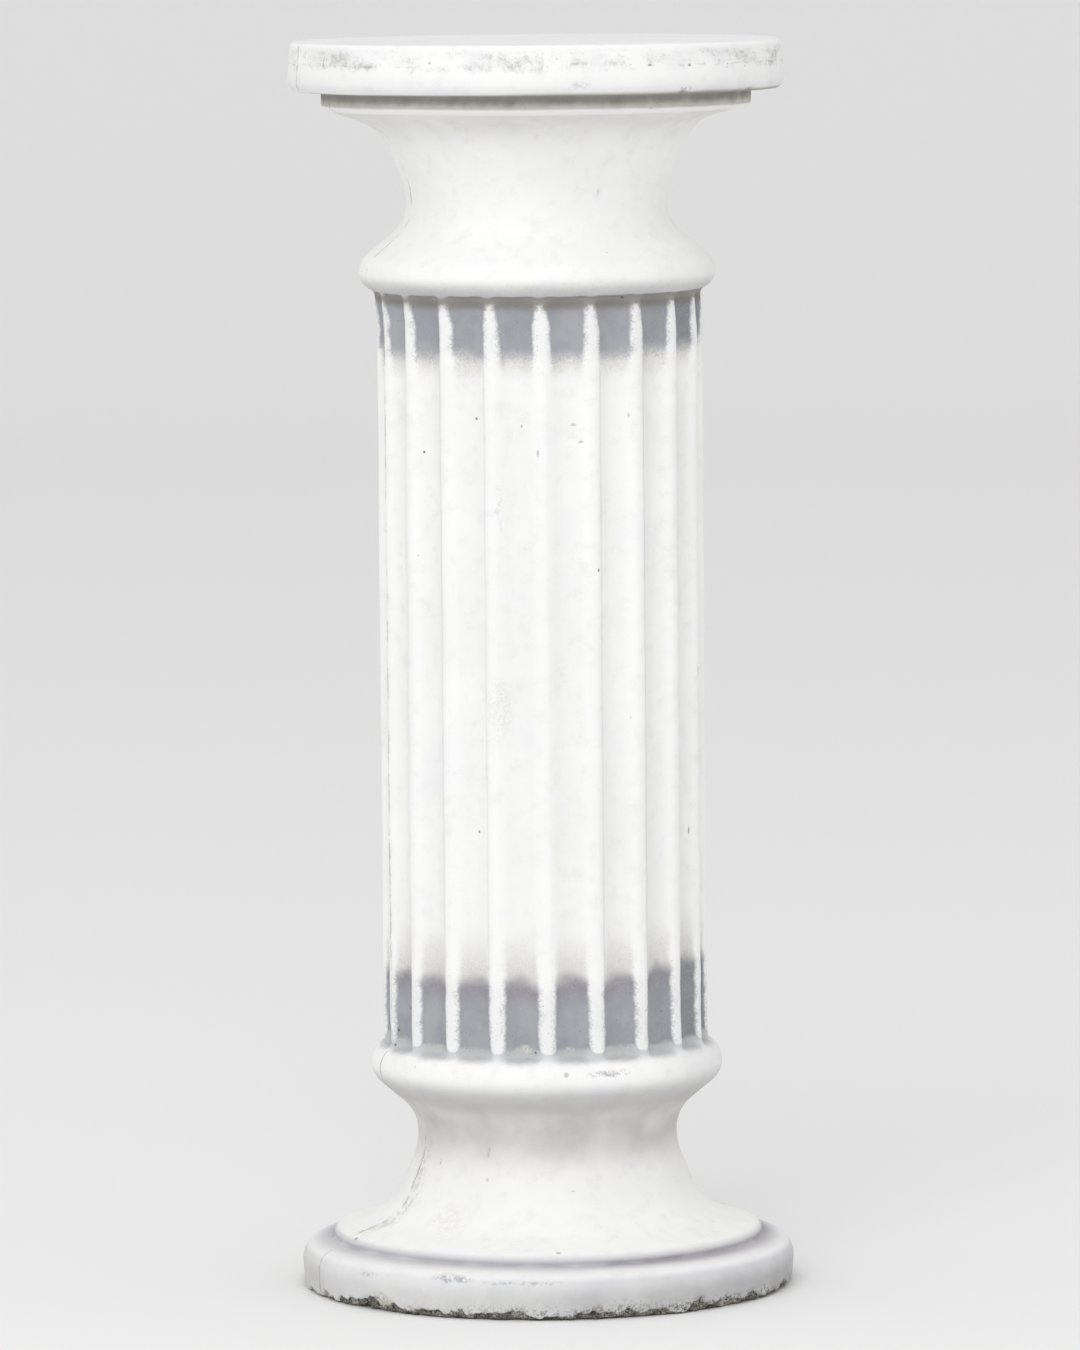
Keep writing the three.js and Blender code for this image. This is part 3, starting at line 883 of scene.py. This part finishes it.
def paintTone(red, green, blue):
    return tuple(((part / 255 + 0.055) / 1.055) ** 2.4 / finish["litPaint"]
                 for part in (red, green, blue)) + (1,)


def mottle(tree, place, size, seed, detail):
    cloudy = addNode(tree, "ShaderNodeTexNoise", {
        "Vector": place, "W": seed, "Scale": 1 / size, "Detail": detail}, noise_dimensions="4D")
    return cloudy.outputs[0]


def ease(tree, value, low, high):
    return addNode(tree, "ShaderNodeMapRange", {
        "Value": value, "From Min": low, "From Max": high}, interpolation_type="SMOOTHSTEP").outputs[0]


def within(tree, value, low, high, soft):
    # 1 between two limits, easing to 0 outside them
    return calc(tree, "MULTIPLY", ease(tree, value, low - soft, low + soft),
                ease(tree, value, high + soft, high - soft))


def tint(tree, under, colour, amount):
    mixed = addNode(tree, "ShaderNodeMix", data_type="RGBA")
    feed(tree, mixed.inputs[0], amount)
    feed(tree, mixed.inputs[6], under)
    feed(tree, mixed.inputs[7], colour)
    return mixed.outputs[2]


def specks(tree, place, spacing, reach, chance, seed):
    # Small dots, about one in each cell that comes up by chance
    moved = calcVector(tree, "ADD", place, (seed * 31.7, seed * 12.3, seed * 7.9))
    cell = addNode(tree, "ShaderNodeTexVoronoi", {"Vector": moved, "Scale": 1 / spacing})
    lot = addNode(tree, "ShaderNodeSeparateColor", {"Color": cell.outputs["Color"]})
    picked = calc(tree, "LESS_THAN", lot.outputs[0], chance)
    away = calc(tree, "MULTIPLY", cell.outputs["Distance"], spacing)
    return calc(tree, "MULTIPLY", ease(tree, away, reach, reach * 0.5), picked)


def roughen(tree, at, value, swings=None):
    # A value with noise added, each noise by its own swing
    for name, swing in (swings or {}).items():
        shifted = calc(tree, "MULTIPLY", calc(tree, "SUBTRACT", at[name], 0.5), swing)
        value = calc(tree, "ADD", value, shifted)
    return value


def look(tree, at, name):
    # A field or mask by its name; masks are made when a coat first needs them
    if name in at:
        return at[name]
    if name in dots:
        found = specks(tree, at["place"], *dots[name])
    elif name in shares:
        source, times, plus = shares[name]
        found = calc(tree, "MULTIPLY_ADD", look(tree, at, source), times, plus)
    elif name in eithers:
        found = calc(tree, "MAXIMUM", *(look(tree, at, part) for part in eithers[name]))
    elif name in overlaps:
        found = held(tree, at, 1, overlaps[name])
    else:
        field, limits, *swings = masks[name]
        value = roughen(tree, at, look(tree, at, field), *swings)
        found = within(tree, value, *limits) if len(limits) == 3 else ease(tree, value, *limits)
    at[name] = found
    return found


def held(tree, at, strength, names):
    # A strength, held in by every mask that is named
    for name in names:
        strength = calc(tree, "MULTIPLY", look(tree, at, name), strength)
    return strength


def layCoats(tree, at, tone, colour, coats):
    for name, strength, *where in coats:
        colour = tint(tree, colour, tone[name], held(tree, at, strength, where))
    return colour


def findPlace(tree, f):
    # Where a point is, in millimetres and round the axis, what the mesh stored there, and noises
    coordinates = addNode(tree, "ShaderNodeTexCoord").outputs["Object"]
    place = addNode(tree, "ShaderNodeVectorMath", {"Vector": coordinates, "Scale": 1 / mm},
                    operation="SCALE").outputs[0]
    x, y, height = addNode(tree, "ShaderNodeSeparateXYZ", {"Vector": place}).outputs
    squares = calc(tree, "ADD", calc(tree, "MULTIPLY", x, x), calc(tree, "MULTIPLY", y, y))
    azimuth = calc(tree, "ARCTAN2", x, calc(tree, "MULTIPLY", y, -1))
    rightness = calc(tree, "SINE", azimuth)
    at = {"place": place, "x": x, "y": y, "height": height, "radius": calc(tree, "SQRT", squares),
          "azimuth": azimuth, "rightness": rightness, "sideways": calc(tree, "ABSOLUTE", rightness)}
    for name in ("fromRib", "recess", "broken", "fromSeam"):
        at[name] = addNode(tree, "ShaderNodeAttribute", attribute_name=name).outputs["Fac"]
    for name, given in noises.items():
        at[name] = mottle(tree, place, *given)
    flattened = addNode(tree, "ShaderNodeMapping", {"Vector": place, "Scale": f["flattened"]})
    at["streaky"] = mottle(tree, flattened.outputs[0], *streaks)
    return at


def findFlutes(tree, at, f):
    # How far a point is from the ragged edge of a wiped rib, and its height for each grey band
    fromRib, height, radius = at["fromRib"], at["height"], at["radius"]
    edge = roughen(tree, at, fromRib, f["ribRagged"])
    half = calc(tree, "MULTIPLY_ADD", ease(tree, height, *f["ribNarrows"]),
                f["ribHalfAtTop"] - f["ribHalf"], f["ribHalf"])
    at["fromEdge"] = calc(tree, "SUBTRACT", edge, half)
    farRight = ease(tree, at["rightness"], *f["farRight"])
    sides = calc(tree, "MULTIPLY", farRight, f["lowBandRight"])
    dome = calc(tree, "MULTIPLY", calc(tree, "MINIMUM", fromRib, f["domeReach"]), f["domeRise"])
    lowered = calc(tree, "SUBTRACT", height, calc(tree, "ADD", sides, dome))
    at["lowHeight"] = roughen(tree, at, lowered, f["lowRagged"])
    at["topHeight"] = calc(tree, "SUBTRACT", roughen(tree, at, height, f["topRagged"]),
                           calc(tree, "MULTIPLY", farRight, f["topBandRight"]))
    nose = calc(tree, "MULTIPLY", calc(tree, "POWER", fromRib, 4), f["noseRound"])
    at["noseHeight"] = calc(tree, "SUBTRACT", height, nose)

    # How far it is outside the overspray's scalloped edge
    scallop = calc(tree, "MULTIPLY_ADD", ease(tree, fromRib, *f["scallopRun"]),
                   f["oversprayScallop"], f["oversprayRadius"])
    sprayed = roughen(tree, at, radius, f["oversprayRagged"])
    at["beyondSpray"] = calc(tree, "SUBTRACT", sprayed, scallop)

    # Above zero on the flank of a rib that is turned away from the front, where a thin line of painted shade
    # goes
    turned = calc(tree, "SUBTRACT", at["azimuth"], math.radians(casting["firstRib"]))
    phase = calc(tree, "SINE", calc(tree, "MULTIPLY", turned, casting["flutes"]))
    at["flank"] = calc(tree, "MULTIPLY", phase, at["rightness"])


def findLine(tree, at, f):
    # Distance from the mould's parting line, and from the rough ground beside it
    at["besideLine"] = calc(tree, "ABSOLUTE", roughen(tree, at, at["fromSeam"], f["lineRagged"]))
    aside = calc(tree, "SUBTRACT", roughen(tree, at, at["fromSeam"], f["leakRagged"]), wear["leakAside"])
    at["besideLeak"] = calc(tree, "ABSOLUTE", aside)


def brushGrey(tree, at, tone, colour, f):
    # Grey in the flutes at both ends, a little purple where it thins out; the ribs were wiped clean
    grey = tint(tree, tone["grey"], tone["paleGrey"], look(tree, at, "greyPatches"))
    thin = calc(tree, "MAXIMUM", held(tree, at, f["fringeStrength"], ("fringe",)),
                held(tree, at, f["edgeStrength"], ("nearEdge",)))
    grey = tint(tree, grey, tone["purpleGrey"], thin)
    grey = tint(tree, grey, tone["shadedGrey"], look(tree, at, "shadedSide"))
    return tint(tree, colour, grey, held(tree, at, f["greyStrength"], ("painted",)))


def markMask(tree, place, group, centreOf):
    # Small oval marks; the first two numbers of each are turned into its centre in place's own frame
    mask = None
    for azimuth, height, halfWidth, halfHeight, strength in group:
        centre, spread = centreOf(azimuth, height, halfWidth, halfHeight)
        sized = calcVector(tree, "DIVIDE", calcVector(tree, "SUBTRACT", place, centre), spread)
        length = addNode(tree, "ShaderNodeVectorMath", {"Vector": sized}, operation="LENGTH")
        spot = ease(tree, length.outputs["Value"], *finish["markEdge"])
        spot = calc(tree, "MULTIPLY", spot, strength)
        mask = spot if mask is None else calc(tree, "MAXIMUM", mask, spot)
    return mask


def placeMarks(tree, at, tone, colour, column, f):
    # Stains lie on the unrolled surface and are smeared; pins are small and keep their place
    def inSpace(angle, level, halfWidth, halfHeight):
        return onSurface(column, angle, level), (halfWidth, halfWidth, halfHeight)

    def unrolled(angle, level, halfWidth, halfHeight):
        around = math.radians(angle) * onSurface(column, angle, level).xy.length
        return (around, level, 0), (halfWidth, halfHeight, 1)

    around = calc(tree, "MULTIPLY", at["azimuth"], at["radius"])
    smeared = addNode(tree, "ShaderNodeCombineXYZ", {
        "X": roughen(tree, at, around, f["smearAround"]),
        "Y": roughen(tree, at, at["height"], f["smearUp"])})
    for name, group in stains.items():
        mask = markMask(tree, smeared.outputs[0], group, unrolled)
        mask = calc(tree, "MULTIPLY", mask, look(tree, at, "markPatches"))
        colour = tint(tree, colour, tone[name], mask)
    nudged = addNode(tree, "ShaderNodeCombineXYZ", {
        "X": roughen(tree, at, at["x"], f["nudgeAside"]), "Y": at["y"],
        "Z": roughen(tree, at, at["height"], f["nudgeUp"])})
    for name, group in pins.items():
        colour = tint(tree, colour, tone[name], markMask(tree, nudged.outputs[0], group, inSpace))
    return colour


def addRelief(tree, at, f):
    # Grain and brush marks stand in the paint, pinholes are sunk, and bare stone is coarser
    grain = calc(tree, "ADD", calc(tree, "MULTIPLY", at["grainy"], f["grainRelief"]),
                 calc(tree, "MULTIPLY", at["fine"], f["fineRelief"]))
    grain = calc(tree, "SUBTRACT", grain, held(tree, at, f["holeRelief"], ("pinholes",)))
    grain = calc(tree, "ADD", grain, held(tree, at, f["bareRelief"], ("fine", "bare")))
    return addNode(tree, "ShaderNodeBump", {
        "Strength": 1.0, "Distance": f["relief"] * mm, "Height": grain}).outputs[0]


def paintStone(material, column, f):
    material.use_nodes = True
    tree = material.node_tree
    shader = tree.nodes["Principled BSDF"]
    tone = {name: paintTone(*value) for name, value in tones.items()}
    at = findPlace(tree, f)
    colour = layCoats(tree, at, tone, tone["white"], coatsOnMouldings)
    findFlutes(tree, at, f)
    colour = layCoats(tree, at, tone, colour, coatsUnderGrey)
    colour = brushGrey(tree, at, tone, colour, f)
    findLine(tree, at, f)
    colour = layCoats(tree, at, tone, colour, coatsOverGrey)
    colour = placeMarks(tree, at, tone, colour, column, f)

    # Bare, dirty stone where the lower rim is broken, and the unpainted underside
    stone = tint(tree, tone["stoneDark"], tone["stoneGrey"], look(tree, at, "damp"))
    stone = tint(tree, stone, tone["stonePale"], look(tree, at, "paleStone"))
    colour = layCoats(tree, at, tone, colour, coatsAtFoot)
    colour = tint(tree, colour, stone, look(tree, at, "bare"))
    colour = layCoats(tree, at, tone, colour, [("underside", 0.9, "downFace", "insideRim")])
    tree.links.new(colour, shader.inputs["Base Color"])

    # Matt, and rougher where the stone is bare
    roughness = calc(tree, "MULTIPLY_ADD", at["grainy"], f["roughnessSwing"], f["roughness"])
    roughness = calc(tree, "ADD", roughness, held(tree, at, f["bareRoughness"], ("bare",)))
    tree.links.new(roughness, shader.inputs["Roughness"])
    shader.inputs["Specular IOR Level"].default_value = f["specular"]
    tree.links.new(addRelief(tree, at, f), shader.inputs["Normal"])


paintStone(paint, column, finish)
print("paint mixed:", len(paint.node_tree.nodes), "nodes")


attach(column, "root")
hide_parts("column")
